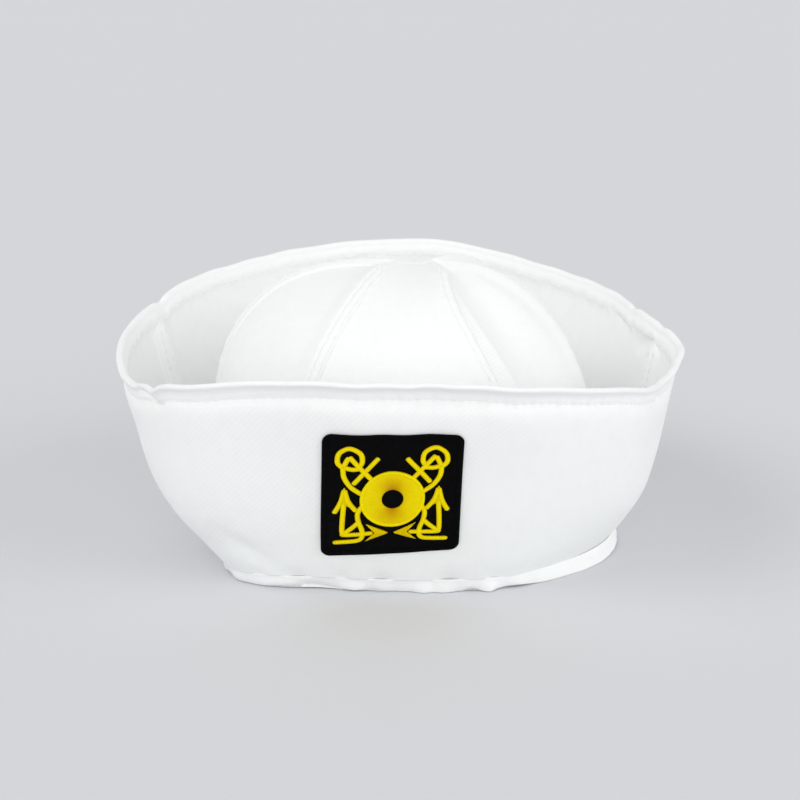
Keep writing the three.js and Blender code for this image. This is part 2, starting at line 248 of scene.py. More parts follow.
def makeBadgeCloth():
    material, tree, shader = newMaterial("black badge cloth", Roughness=0.95, Specular_IOR_Level=0.06)
    cut = addNode(tree, "ShaderNodeUVMap", {}, uv_map="cut")
    lean = addNode(tree, "ShaderNodeMapping", {
        "Vector": cut.outputs[0], "Rotation": (0, 0, radians(blackTwill["ribLean"]))})
    ribs = addNode(tree, "ShaderNodeTexWave", {
        "Vector": lean.outputs[0], "Scale": waveScale(blackTwill["ribSpacing"]),
        "Distortion": 0.6, "Detail": 1})
    lint = addNode(tree, "ShaderNodeTexNoise", {
        "Vector": cut.outputs[0], "Scale": 0.35, "Detail": 4, "Roughness": 0.6})
    # painted sheen: the raised ribs are coloured lighter, patched at random by lint
    lintAndSheen = addNode(tree, "ShaderNodeMath", {
        0: ribs.outputs["Fac"], 1: lint.outputs["Fac"]}, operation="MULTIPLY")
    colour = addNode(tree, "ShaderNodeMix", {
        "Factor": lintAndSheen.outputs[0],
        6: hexColour(blackTwill["deep"]), 7: hexColour(blackTwill["lintAndSheen"])}, data_type="RGBA")
    tree.links.new(colour.outputs[2], shader.inputs["Base Color"])
    bump = addNode(tree, "ShaderNodeBump", {
        "Height": ribs.outputs["Fac"], "Strength": 0.5, "Distance": 0.15 * mm})
    tree.links.new(bump.outputs[0], shader.inputs["Normal"])
    return material


# Gold rayon embroidery thread in satin stitch: silky, with painted amber shade between threads and where
# they turn away
gold = {
    "light": "#FFFF00",
    "shade": "#FAD600",
    # painted shade: the threads are coloured amber where they turn away from the light
    "amberShade": "#C47E00",
    "groove": "#A86A00",
    "grooveShare": 0.36,  # painted shade: how much of the groove's colour shows between two threads
}


def makeGoldThread():
    material, tree, shader = newMaterial("gold rayon thread", Roughness=0.5, Specular_IOR_Level=0.06)
    cut = addNode(tree, "ShaderNodeUVMap", {}, uv_map="cut")  # u counts the threads, v runs along them
    turned = addNode(tree, "ShaderNodeAttribute", {}, attribute_name="turned")  # painted amber shade on a thread
    threads = addNode(tree, "ShaderNodeTexWave", {
        "Vector": cut.outputs[0], "Scale": waveScale(1), "Distortion": 0.3})
    strand = addNode(tree, "ShaderNodeTexNoise", {"Vector": cut.outputs[0], "Scale": 0.9, "Detail": 2})
    bright = addNode(tree, "ShaderNodeMix", {
        "Factor": strand.outputs["Fac"],
        6: hexColour(gold["shade"]), 7: hexColour(gold["light"])}, data_type="RGBA")
    amberShade = addNode(tree, "ShaderNodeMix", {
        "Factor": turned.outputs["Fac"],
        6: bright.outputs[2], 7: hexColour(gold["amberShade"])}, data_type="RGBA")
    # painted shade: the grooves between threads are coloured darker
    groove = addNode(tree, "ShaderNodeMapRange", {
        "Value": threads.outputs["Fac"], 1: 0.0, 2: 0.4, 3: gold["grooveShare"], 4: 0.0})
    colour = addNode(tree, "ShaderNodeMix", {
        "Factor": groove.outputs[0], 6: amberShade.outputs[2], 7: hexColour(gold["groove"])}, data_type="RGBA")
    tree.links.new(colour.outputs[2], shader.inputs["Base Color"])
    bump = addNode(tree, "ShaderNodeBump", {
        "Height": threads.outputs["Fac"], "Strength": 0.35, "Distance": 0.1 * mm})
    tree.links.new(bump.outputs[0], shader.inputs["Normal"])
    return material


whiteTwill = makeTwill()
sewingThread = makeSewingThread()
badgeCloth = makeBadgeCloth()
goldThread = makeGoldThread()
print("materials:", len(bpy.data.materials))


# Cutting and sewing
sharpFold = radians(75)  # thin cut edges stay sharp
mergeGap = 0.004 * mm  # points closer than this are sewn into one


def dress(name, bm, material, slot, *nodes):
    bmesh.ops.recalc_face_normals(bm, faces=bm.faces)
    for face in bm.faces:
        face.smooth = True
    for edge in bm.edges:
        edge.smooth = edge.calc_face_angle(0) < sharpFold
    mesh = bpy.data.meshes.new(name)
    bm.to_mesh(mesh)
    bm.free()
    mesh.materials.append(material)
    piece = bpy.data.objects.new(name, mesh)
    bpy.context.collection.objects.link(piece)
    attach(piece, "root")
    if nodes:
        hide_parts(*nodes)
    print(name, len(mesh.polygons), "faces")


# A cloth panel: two flat grids, one for each face, bent to shape and closed round their edges.
# place gives a point for the column, the row and the face, which is -1 inside and 1 outside.
# cut gives the same point on the flat pattern, in mm.
def clothPanel(columns, rows, place, cut):
    bm = bmesh.new()
    flat = {}
    for face in (-1, 1):
        grid = bmesh.ops.create_grid(bm, x_segments=columns, y_segments=rows, size=0.5)["verts"]
        for vert in grid:
            column, row = round((vert.co.x + 0.5) * columns), round((vert.co.y + 0.5) * rows)
            flat[vert] = cut(column, row)
            vert.co = place(column, row, face)
    bmesh.ops.bridge_loops(bm, edges=[e for e in bm.edges if e.is_boundary])
    layer = bm.loops.layers.uv.new("cut")
    for face in bm.faces:
        for loop in face.loops:
            loop[layer].uv = flat[loop.vert]
    bmesh.ops.remove_doubles(bm, verts=bm.verts, dist=mergeGap)
    return bm


# Stitches along a row: path gives a point on the cloth for each step, and beside a point just next to it
thread = {
    "width": 0.6,  # mm
    "thick": 0.5,
    "fill": 0.66,  # share of the pitch that a stitch takes up
    "proud": 0.1,  # share of its thickness that its middle stands off the cloth
    "aside": 0.3,  # mm from a stitch to the point beside it
}


def makeStitch():  # one round stitch, copied along every row
    bm = bmesh.new()
    bmesh.ops.create_uvsphere(bm, u_segments=6, v_segments=5, radius=1)
    mesh = bpy.data.meshes.new("stitch")
    bm.to_mesh(mesh)
    bm.free()
    return mesh


stitch = makeStitch()


def sewRow(bm, path, beside, count):
    for k in range(count):
        start, middle, end = (path((k + 0.5 + side * thread["fill"] / 2) / count) for side in (-1, 0, 1))
        along = (end - start).normalized()
        out = along.cross(beside((k + 0.5) / count) - middle).normalized()
        turn = Matrix((out.cross(along), out, along)).transposed().to_4x4()
        half = (thread["width"] / 2 * mm, thread["thick"] / 2 * mm, (end - start).length / 2, 1)
        where = Matrix.Translation(middle + out * thread["thick"] * thread["proud"] * mm)
        sewn = stitch.copy()
        sewn.transform(where @ turn @ Matrix.Diagonal(half))
        bm.from_mesh(sewn)
        bpy.data.meshes.remove(sewn)


# Brim: a front and a back panel of doubled twill, turned up, with a rolled and stitched hem
brim = {
    "cloth": 1.5,  # mm thick
    "column": 1.05,  # mm between the mesh's columns
    "frontReach": 118,  # mean reach of each panel, for the number of its columns
    "backReach": 132,
    "patternHeight": 92,
    "plainRows": 40,
    "roll": 1.6,  # radius of the rolled edge
    "hem": 8.9,  # depth of the turned hem
    "stitchDrop": 7.6,  # the hem's stitches, below the edge
    "stitches": 212,  # round the whole hem
    # mm below the edge of the mesh's rows in the hem
    "hemDrops": (11, 10.2, 9.6, 9.2, 8.9, 8.6, 8.2, 7.9, 7.6, 7.3, 6.9, 6.4, 5.8, 5.1,
                 4.4, 3.7, 3.1, 2.6, 2.2, 1.8, 1.4, 1.0, 0.65, 0.36, 0.16, 0.04, 0),
    # mm that the stitches draw the hem in, behind and in front, then the front's angle and degrees across
    "cove": (1.2, 3.4, 2, 28),
    "rightSeam": (106.5, 101.5),  # angle at the hem and at the foot
    "leftSeam": (-120, -105),
    "seamReach": 120,  # reach of the wall at those seams
    "seamStart": (6.5, 13),  # mm below the edge: the hem is turned over the finished side seams
    "seamRows": (1.1, 4.3),  # mm past the seam of its two rows of stitches
    "seamStitches": 24,  # in each of those rows
    "turned": 0.8,  # radius of a turned edge
    "lap": 9,  # mm wide
    "lapColumns": 14,
    "lapCloth": 1.2,  # thickness of the back panel in the lap
    "lapTaper": 5,  # mm over which its end thins out
    "lapStep": 1.2,  # mm over which the back panel steps in behind the front one
    "lapRidge": 2.6,  # mm that the bulky seam stands in from the wall
    # angle, rise, degrees across, share of the wall up, mm inwards
    "folds": (
        (-62, 0.3, 26, 0.24, -4.4),  # the soft sides, which belly out and pull in
        (-66, 0.72, 24, 0.13, 1.2),
        (64, 0.3, 20, 0.15, -2.2),
        (68, 0.66, 20, 0.13, 1.4),
        (88, 0.98, 15, 0.1, -2.2),
        (-42, 0.16, 12, 0.06, 1.0),
        (48, 0, 34, 0.06, 1.7),  # the foot, drawn in above the lip
        (18, 0.56, 8, 0.16, 1.4),
        (-30, 0.62, 7, 0.2, 0.9),
        (-58, 0.9, 5, 0.12, 2.0),
        (82, 0.92, 6, 0.2, 1.8),
    ),
    # angle, degrees across, mm in: small tucks where the foot is gathered on the band
    "tucks": ((-30.5, 3.2, 1.5), (-9.8, 3.0, 1.6), (8.2, 3.4, 1.7), (-20, 1.8, 1.0),
              (20, 2.2, 1.0), (-39, 2, 0.8), (140, 4, 0.8), (165, 3, 0.9),
              (196, 4, 0.8), (228, 3, 0.7), (262, 3, 0.6)),
    "tuckRise": 0.045,  # share of the wall that they run up
    # from angle and rise, to angle and rise, mm wide, mm inwards
    "creases": (
        (-66, 0.985, -49, 0.885, 1.5, 1.7),
        (-45, 0.29, -33, 0.03, 4.6, 1.3),
        (115, 0.8, 104, 0.92, 2.6, -1.5),
        (132, 0.93, 118, 0.86, 2.2, -0.9),
        (60, 0.93, 72, 0.84, 2.2, 1.0),
        (158, 0.5, 172, 0.34, 6, 1.2),
        (205, 0.62, 192, 0.4, 7, 1.1),
    ),
    # angle, degrees across, mm down: where the edge dips
    "dips": ((-54, 3.6, 2.0), (243, 1.8, 1.7), (120, 2.0, 1.3), (104, 2.2, 1.0)),
}


def brimWall(angle):
    seam, rim, height = stationAt(angle)[:3]
    return hypot(rim - seam, height - capShape["seamHeight"])


def creaseDepth(crease, angle, rise, reach, wall):
    fromAngle, fromRise, toAngle, toRise, width, depth = crease
    x, y = radians(turnTo(angle - fromAngle)) * reach, (rise - fromRise) * wall
    if abs(x) > 60:  # too far off to matter
        return 0
    runX, runY = radians(toAngle - fromAngle) * reach, (toRise - fromRise) * wall
    t = min(max((x * runX + y * runY) / (runX**2 + runY**2), 0), 1)
    return depth * (1 - (2 * t - 1) ** 4) * bell(hypot(x - t * runX, y - t * runY) / width)


def hemHalf(drop, face):  # half thickness of the brim, below its edge
    roll, hem = brim["roll"], brim["hem"]
    bead = sqrt(max(0, roll**2 - (drop - roll) ** 2))
    if drop < roll:
        return bead
    if face > 0:
        turned = 0.15 * (1 - ease(drop, 6, 9))
    else:
        turned = 0.5 * (1 - ease(drop, hem - 1.2, hem + 0.2))  # the hem's edge shows inside
    pulled = 0.3 * bell((drop - brim["stitchDrop"]) / 0.8)  # by the stitches
    body = brim["cloth"] / 2 + turned - pulled
    return (bead + body + sqrt((bead - body) ** 2 + 0.02)) / 2  # the larger of the two, rounded over


def tuckIn(angle, rise):
    deep = sum(depth * bell(turnTo(angle - tuck) / across) for tuck, across, depth in brim["tucks"])
    return deep * bell(rise / brim["tuckRise"])


@lru_cache(maxsize=None)
def brimSurface(angle, rise):  # the middle of the wall: reach, height and distance below the edge
    seam, rim, height, belly = stationAt(angle)[:4]
    wall = brimWall(angle)
    drop = (1 - rise) * wall
    theta = radians(angle)
    reach = mix(seam, rim, rise + belly * rise * (1 - rise)) - brim["cloth"] / 2
    for foldAngle, foldRise, across, up, depth in brim["folds"]:
        reach -= depth * bell(hypot(turnTo(angle - foldAngle) / across, (rise - foldRise) / up))
    for crease in brim["creases"]:
        reach -= creaseDepth(crease, angle, rise, reach, wall)
    if rise < 0.14:  # no tuck reaches higher
        reach -= tuckIn(angle, rise)
    reach += 0.45 * sin(7 * theta + 1.1) * sin(pi * rise)  # a soft sway in the wall
    reach += 0.3 * sin(12 * theta + 2 + 2.5 * rise) * rise
    plain, drawn, front, across = brim["cove"]
    below = drop - brim["stitchDrop"]
    cove = mix(plain, drawn, bell(turnTo(angle - front) / across))
    reach -= cove * (ease(drop, 1.2, 5.4) if below < 0 else bell(below / 3))
    puckers = (0.6 + 0.4 * sin(3 * theta + 0.6)) * bell((drop - 8.6) / 3.4)  # along the hem's stitches
    reach += puckers * 0.3 * sin(84 * theta + 1.4 * sin(11 * theta))
    reach += puckers * 0.14 * cos(brim["stitches"] * theta)
    edge = height + 0.35 * sin(11 * theta + 0.5) + 0.2 * sin(29 * theta + 2 * sin(5 * theta))
    edge -= sum(depth * bell(turnTo(angle - dip) / across) for dip, across, depth in brim["dips"])
    return reach, mix(capShape["seamHeight"], edge, rise), drop


# keep thins the cloth towards nothing, against the face that seat names
def brimPoint(angle, rise, face, out=0, keep=1, seat=1):
    reach, height, drop = brimSurface(angle, rise)
    offset = mix(seat * hemHalf(drop, seat), face * hemHalf(drop, face), keep)
    return around(angle, reach + offset + out, height)


def brimRow(row, angle):  # how far up the wall a row of the mesh lies
    drops = brim["hemDrops"]
    wall = brimWall(angle)
    if row < brim["plainRows"]:
        return (row / brim["plainRows"]) ** 1.3 * (1 - drops[0] / wall)
    return 1 - drops[row - brim["plainRows"]] / wall


brimRows = brim["plainRows"] + len(brim["hemDrops"]) - 1


def seamAngle(seam, row):
    return mix(brim[seam][1], brim[seam][0], row / brimRows)


def frontAngle(share, row):
    return mix(seamAngle("leftSeam", row), seamAngle("rightSeam", row), share)


def backAngle(share, row):
    return mix(seamAngle("rightSeam", row), seamAngle("leftSeam", row) + 360, share)


frontColumns = ceil(radians(frontAngle(1, 0) - frontAngle(0, 0)) * brim["frontReach"] / brim["column"])
backColumns = ceil(radians(backAngle(1, 0) - backAngle(0, 0)) * brim["backReach"] / brim["column"])
backAll = backColumns + 2 * brim["lapColumns"]


def belowHem(angle, row):  # 0 in the hem, 1 where the side seam is free of it
    return ease((1 - brimRow(row, angle)) * brimWall(angle), *brim["seamStart"])


def placeFront(column, row, face):
    share = column / frontColumns
    angle = frontAngle(share, row)
    keep = roundEnd(min(share, 1 - share) * frontColumns * brim["column"], brim["turned"])
    keep = max(keep, 0.85 * (1 - belowHem(angle, row)))  # nearly whole in the hem
    return brimPoint(angle, brimRow(row, angle), face, 0, keep, -1)


lapStart = -2 * brim["lapStep"]  # mm past the seam, where the back panel's lap columns begin
perMm = degrees(1 / brim["seamReach"])  # angle of a mm along the wall
plyGap = 0.02  # mm between the two panels


def lapPoint(right, past, row, face):  # the back panel's end, lapped inside the front one in a bulky seam
    seam = backAngle(0 if right else 1, row)
    below = belowHem(seam, row)
    taper = ease(brim["lap"] - past, 0, brim["lapTaper"])
    past *= max(below, 0.02) if past > 0 else 1
    angle = seam - past * perMm if right else seam + past * perMm
    rise = brimRow(row, angle)
    drop = (1 - rise) * brimWall(angle)
    stepped = ease(past, -brim["lapStep"], -0.1) * below
    full = hemHalf(drop, -1) + hemHalf(drop, 1)
    ridge = brim["lapRidge"] * (1 - max(past, 0) / brim["lap"]) * below
    thick = mix(full, brim["lapCloth"] + ridge, stepped) * taper
    return brimPoint(angle, rise, 1, -(full + plyGap) * stepped - (thick if face < 0 else 0))


def placeBack(column, row, face):
    atEnd = min(column, backAll - column)
    if atEnd < brim["lapColumns"]:
        past = mix(brim["lap"], lapStart, atEnd / brim["lapColumns"])
        return lapPoint(column < brim["lapColumns"], past, row, face)
    share = (column - brim["lapColumns"]) / backColumns
    angle = mix(backAngle(0, row) - lapStart * perMm, backAngle(1, row) + lapStart * perMm, share)
    return brimPoint(angle, brimRow(row, angle), face)


def cutBrim(column, row):
    return column * brim["column"], row / brimRows * brim["patternHeight"]


frontPanel = clothPanel(frontColumns, brimRows, placeFront, cutBrim)
dress("brimFront", frontPanel, whiteTwill, "white_twill", "brim_front")
backPanel = clothPanel(backAll, brimRows, placeBack, cutBrim)
dress("brimBack", backPanel, whiteTwill, "white_twill", "brim_back")


# Crown: six gores, each with its far edge turned under and felled over the next one
crown = {
    "inner": 0.2,  # lift of the cloth's inner face
    "outer": 1.2,
    "lapInner": 1.22,  # and in the lap
    "lapOuter": 2.6,
    "lap": 5,  # mm wide
    "lapStart": -2.6,  # mm past the seam, where the lap's columns begin
    "lapWiden": (1.3, 0.85),  # the lap's share of that width, at the foot and at the top
    "lapPressed": 0.8,  # share of the lap's thickness pressed away where the laps meet at the top
    "turned": 0.8,  # radius of a turned edge
    "panelColumns": 48,
    "lapColumns": 15,
    "rows": 90,
    "patternReach": 92,
    "patternLength": 165,
    "sink": 1.3,  # how far a gore lies inside the dome between its seams
    "stitchRows": (0.9, 4.1),  # mm past the seam
    "stitchDent": 0.45,
    "stitches": 44,  # in each row
    "stitched": (0.12, 0.95),  # climb at the ends of a row
    "pucker": (7.2, 0.22, 4.5),  # along a seam: mm from one to the next, depth and reach
    "topSeam": 0.7,  # depth of the seam across the top
    # angle at the head band, bow on the way up, where it meets the seam across the top
    "seams": ((-37.5, 6.5, -10), (30, -18.5, 6), (80, 0, 6), (145, 0, 6), (212, 0, -10), (272, 0, -10)),
    "fold": (42, -20, 5.6),  # crease beside the front right seam: angle, bow, mm deep
    "foldWidths": (7, 12, 38),  # degrees past it, where it is deep, starts to fade and ends
    # angle, climb, degrees across, climb across, mm in
    "dents": ((3, 0.57, 9, 0.07, 1.7), (-62, 0.55, 8, 0.08, 0.8), (58, 0.6, 9, 0.1, 0.7),
              (178, 0.6, 14, 0.14, 2.0), (118, 0.62, 10, 0.12, 1.2), (240, 0.6, 10, 0.12, 1.2)),
}
goreCount = len(crown["seams"])


def crownAngle(angle, bow, climb):
    return angle + bow * sin(pi * climb**3)


def crownShell(angle, climb, lift):  # reach and height of a point of the crown
    foot = stationAt(angle)[0]
    full, dome = stationAt(angle)[4:]
    slope = pi / 2 * climb
    foldAngle, foldBow, foldDepth = crown["fold"]
    deep, fade, end = crown["foldWidths"]
    past = turnTo(angle - crownAngle(foldAngle, foldBow, climb))
    if 0 < past < end:
        lift -= foldDepth * (1 - exp(-past / deep)) * (1 - ease(past, fade, end)) * sin(2 * slope)
    for dentAngle, dentClimb, across, up, depth in crown["dents"]:
        lift -= depth * bell(turnTo(angle - dentAngle) / across) * bell((climb - dentClimb) / up)
    reach = mix(foot - capShape["crownInset"], full, ease(climb, 0, 0.5)) + lift
    rise = capShape["crownHeight"] + lift
    across = max(cos(slope), 0)
    span = ((across / reach) ** dome + (sin(slope) / rise) ** dome) ** (-1 / dome)
    return span * across, capShape["seamHeight"] + span * sin(slope)


def goreLift(past, climb, face):  # lift of the cloth at a distance past a gore's far seam
    on = ease(past, -9, -0.2)
    pressed = crown["lapPressed"] * ease(climb, 0.86, 1)
    inner = mix(crown["inner"], crown["lapInner"], on)
    outer = mix(crown["outer"], mix(crown["lapOuter"], crown["lapInner"] + 0.1, pressed), on)
    outer -= crown["stitchDent"] * sum(bell((past - row) / 0.5) for row in crown["stitchRows"])
    return mix(inner, outer, roundEnd(crown["lap"] - past, crown["turned"])) if face > 0 else inner


def goreSink(across, climb):
    return crown["sink"] * sin(pi * across) * ease(climb, 0.1, 0.4)


def seamPucker(index, climb, distance):
    pitch, depth, reach = crown["pucker"]
    phase = 2 * pi * climb * crown["patternLength"] / pitch + 2.2 * index + 1.6 * sin(climb * 21 + index)
    shown = ease(climb, 0.1, 0.3) * (1 - ease(climb, 0.9, 0.98))
    return depth * sin(phase) * bell(distance / reach) * shown


# a point of a gore, between its seams by across, or in its lap by mm past the far seam
def gorePoint(index, climb, face, across=None, past=None):
    first, last, after = (crown["seams"][(index + k) % goreCount] for k in range(3))
    nextIndex = (index + 1) % goreCount
    start, end, beyond = (crownAngle(seam[0], seam[1], climb) for seam in (first, last, after))
    width, nextWidth = (end - start) % 360, (beyond - end) % 360
    girth = max(crownShell(start, climb, 0)[0], 0.01)
    step = degrees(1 / girth) * mix(*crown["lapWiden"], climb)  # angle of a mm of the lap
    step = min(step, min(width, nextWidth) / (2 * crown["lap"] + 1.2))
    if past is None:
        angle = mix(start + 0.15 * step, start + width + crown["lapStart"] * step, across)
        lift = goreLift((angle - start - width) / step, climb, face)
        lift -= goreSink((angle - start) / width, climb)
        lift += seamPucker(index, climb, (angle - start) / step)
        lift += seamPucker(nextIndex, climb, (start + width - angle) / step)
    else:
        across = 1
        angle = start + width + past * step
        lift = goreLift(past, climb, face)
        lift -= goreSink(past * step / nextWidth if past > 0 else 1 + past * step / width, climb)
        lift += seamPucker(nextIndex, climb, abs(past))
    if index in (0, 3):  # the front and back gores meet in a seam across the top
        lift -= crown["topSeam"] * (1 - (2 * across - 1) ** 4) * ease(climb, 0.98, 1)
    reach, height = crownShell(angle, climb, lift)
    point = around(angle, reach, height)
    point.x += mix(first[2], last[2], across) * climb**3 * mm
    point.y += capShape["poleBack"] * climb**3 * mm
    return point


def goreClimb(row):
    return sin(pi / 2 * row / crown["rows"])


def lapPast(column):
    return mix(crown["lapStart"], crown["lap"], (column - crown["panelColumns"]) / crown["lapColumns"])


def makeGore(index):
    seams = crown["seams"]
    width = radians((seams[(index + 1) % goreCount][0] - seams[index][0]) % 360) * crown["patternReach"]

    def place(column, row, face):
        if column <= crown["panelColumns"]:
            return gorePoint(index, goreClimb(row), face, across=column / crown["panelColumns"])
        return gorePoint(index, goreClimb(row), face, past=lapPast(column))

    def cut(column, row):
        climb = goreClimb(row)
        flare = cos(pi / 2 * climb)
        return (column / crown["panelColumns"] - 0.5) * width * flare, climb * crown["patternLength"]

    bm = clothPanel(crown["panelColumns"] + crown["lapColumns"], crown["rows"], place, cut)
    dress(f"crownGore{index + 1}", bm, whiteTwill, "white_twill", f"crown_gore_{index + 1}")


for gore in range(goreCount):
    makeGore(gore)


# Head band: a profile turned round the head, its lip gathered into soft ruffles
band = {
    "columns": 540,
    "patternReach": 92,
    "lip": 5.5,  # height of the lip, under the brim and crown
    "top": 22,  # height of the wall inside the crown
    "climb": 0.1,  # of the crown, at the band's top
    # mm out from the brim's foot, height
    "profile": ((-7.1, 21.6), (-7.2, 18), (-7.1, 12), (-7.1, 6), (-7.0, 1.2), (-6.5, 0.3), (-5.5, 0),
                (-2.6, 0), (-0.6, 0), (0, 0.07), (0.32, 0.3), (0.42, 0.7), (0.38, 1.3), (0.32, 2.1),
                (0.26, 3), (0.2, 3.9), (0.14, 4.8), (0.1, 5.5), (0.05, 5.9), (-0.1, 6.15), (-0.6, 6.2),
                (-0.8, 5.6), (-3, 5.5), (-5.9, 5.5), (-5.9, 12), (-5.85, 18), (-5.95, 21.6), (-6.5, 22)),
    "wall": -5,  # the profile's points further in than this, and above the lip, are the wall
    "wallInside": -6.4,  # and further in than this, its inner face
    "flare": (-3.2, 2.4),  # mm that the lip's edge stands out, in front and on the right
    "proud": (-0.5, 1.3),  # mm that its top stands out from the brim there
    "flat": (60, 30),  # angle and degrees across of that flat stretch
    # angle, degrees across, mm out: the gathers that show in front
    "ruffles": ((-16.3, 3.4, 1.0), (-6, 2.6, -0.8), (1, 3.2, 1.3), (6.5, 2.4, 1.2), (12, 2.4, -1.0),
                (18.6, 1.7, 2.6), (24, 2.4, -0.8), (-29, 2.6, -0.8), (-36, 4, 0.8), (-23, 2, -0.5)),
    # angle, degrees across, mm up: where the lip's edge lifts off the floor
    "lifts": ((-29, 8.5, 2.0), (-12, 4.2, 0.8), (14.2, 1.9, 1.6), (26, 5, 1.1), (-52, 6, 0.6),
              (80, 12, 1.6)),
}


def ruffle(angle):
    theta = radians(angle)
    shown = sum(out * bell(turnTo(angle - place) / across) for place, across, out in band["ruffles"])
    plain = 0.4 * sin(31 * theta + 1.2 * sin(7 * theta)) + 0.25 * sin(53 * theta + 2 * sin(5 * theta))
    return shown + plain


def lipPoint(angle, out, z):  # the lip below the brim, flush in front and flared on the right
    flat = bell(turnTo(angle - band["flat"][0]) / band["flat"][1])
    low = 1 - ease(z, 0, 6)
    outer = ease(out, -4, -0.2)
    reach = brimSurface(angle, 0)[0] + 1.3 * tuckIn(angle, 0) + brim["cloth"] / 2 + out
    reach += outer * max(0, 1 - z / 6) * mix(*band["flare"], flat)
    reach += outer * low * ruffle(angle) * (1 - 0.85 * flat)
    reach += outer * mix(band["proud"][0] * ease(z, 2, 5), band["proud"][1], flat)
    lifted = sum(up * bell(turnTo(angle - place) / across) for place, across, up in band["lifts"])
    return around(angle, reach, z + lifted * outer * (1 - ease(z, 0, 5)))


def makeBand():
    bm = bmesh.new()
    nominal = 100  # mm, reach of the plain ring before it is shaped
    verts = [bm.verts.new((nominal + out, 0, z)) for out, z in band["profile"]]
    edges = [bm.edges.new((a, b)) for a, b in zip(verts, verts[1:] + verts[:1])]
    bmesh.ops.spin(bm, geom=verts + edges, cent=(0, 0, 0), axis=(0, 0, 1),
                   angle=2 * pi, steps=band["columns"], use_merge=True)
    flat = {}
    for vert in bm.verts:
        angle = degrees(atan2(vert.co.x, -vert.co.y))
        out, z = hypot(vert.co.x, vert.co.y) - nominal, vert.co.z
        theta = radians(angle)
        flat[vert] = (theta * band["patternReach"], z + (0 if out > -4 else 2 * band["lip"]))
        if out < band["wall"] and z > band["lip"] + 0.1:
            climb = band["climb"] * (z - band["lip"]) / (band["top"] - band["lip"])
            gather = 0.12 * sin(theta * 46 + sin(theta * 9)) if out < band["wallInside"] else 0
            reach, height = crownShell(angle, climb, out + capShape["crownInset"] + gather)
            vert.co = around(angle, reach, height)
        else:
            vert.co = lipPoint(angle, out, z)
    layer = bm.loops.layers.uv.new("cut")
    whole = 2 * pi * band["patternReach"]
    for face in bm.faces:
        furthest = max(flat[loop.vert][0] for loop in face.loops)
        for loop in face.loops:
            u, v = flat[loop.vert]
            loop[layer].uv = (u + (whole if furthest - u > whole / 2 else 0), v)  # the pattern's ends meet
    dress("headBand", bm, whiteTwill, "white_twill", "head_band")


makeBand()


# Badge: flat coordinates in mm across and up from its centre, laid on the brim's front
badge = {
    "angle": -5.7,
    "rise": 0.458,
    "width": 53.8,
    "height": 56,
    "corner": 3.2,
    # the brim drags the badge askew: sideways, upwards, and less so at the top
    "pull": (0.06, 0.055, -0.0013),
    "seat": 0.1,  # mm from the brim to the patch's back
    "thick": 1.0,
    "cells": 72,  # of the mesh, each way
    "edging": 1.15,  # half width of the overlocked edge
    "edgePitch": 0.85,  # mm between its threads
}


def badgePoint(x, y, out):
    seam, rim, _, belly = stationAt(badge["angle"])[:4]
    aside, upwards, fade = badge["pull"]
    x, y = x + aside * y, y + x * (upwards + fade * y)
    rise = badge["rise"] + y / brimWall(badge["angle"])
    reach = mix(seam, rim, rise + belly * rise * (1 - rise))
    return brimPoint(badge["angle"] + degrees(x / reach), rise, 1, out)


# a point of the badge's rounded outline and its outward direction, once round for t from 0 to 1
def badgeEdge(t):
    corner = badge["corner"]
    halfX, halfY = badge["width"] / 2 - corner, badge["height"] / 2 - corner
    sides = [2 * halfY, corner * pi / 2, 2 * halfX, corner * pi / 2] * 2
    at = t % 1 * sum(sides)
    x, y, heading = halfX + corner, -halfY, pi / 2
    for k, side in enumerate(sides):
        step = min(at, side)
        if k % 2:
            turn = step / corner
            x += corner * (sin(heading + turn) - sin(heading))
            y += corner * (cos(heading) - cos(heading + turn))
            heading += turn
        else:
            x += step * cos(heading)
            y += step * sin(heading)
        at -= step
        if at <= 0:
            break
    return Vector((x, y)), Vector((sin(heading), -cos(heading)))


def makePatch():
    count = badge["cells"]

    def flat(column, row):
        up = badge["height"] / 2 * sin(pi / 2 * (2 * row / count - 1))
        past = max(0, abs(up) - badge["height"] / 2 + badge["corner"])
        half = badge["width"] / 2 - badge["corner"] + sqrt(max(0, badge["corner"] ** 2 - past**2))
        return (2 * column / count - 1) * half, up

    def place(column, row, face):
        x, y = flat(column, row)
        return badgePoint(x, y, badge["thick"] if face > 0 else badge["seat"])

    bm = clothPanel(count, count, place, flat)
    dress("badgePatch", bm, badgeCloth, "black_badge_cloth", "badge_patch")


# A closed tube of thread on the badge. For a place along it and a turn round it, shape gives the mm across,
# up and off the brim, the count of threads, the place along the thread and how much painted amber shade it
# gets.
def satinTube(bm, columns, rows, shape):
    grid = bmesh.ops.create_grid(bm, x_segments=columns, y_segments=rows, size=0.5)["verts"]
    uv = bm.loops.layers.uv.verify()
    # the turned layer holds each point's painted amber shade
    turned = bm.verts.layers.float["turned"]
    flat = {}
    for vert in grid:
        x, y, out, u, v, amberShade = shape(vert.co.x + 0.5, (vert.co.y + 0.5) * 2 * pi)
        flat[vert] = (u, v)
        vert[turned] = amberShade
        vert.co = badgePoint(x, y, out)
    for face in {face for vert in grid for face in vert.link_faces}:
        for loop in face.loops:
            loop[uv].uv = flat[loop.vert]


def newThreadMesh():
    bm = bmesh.new()
    bm.loops.layers.uv.new("cut")
    bm.verts.layers.float.new("turned")
    return bm


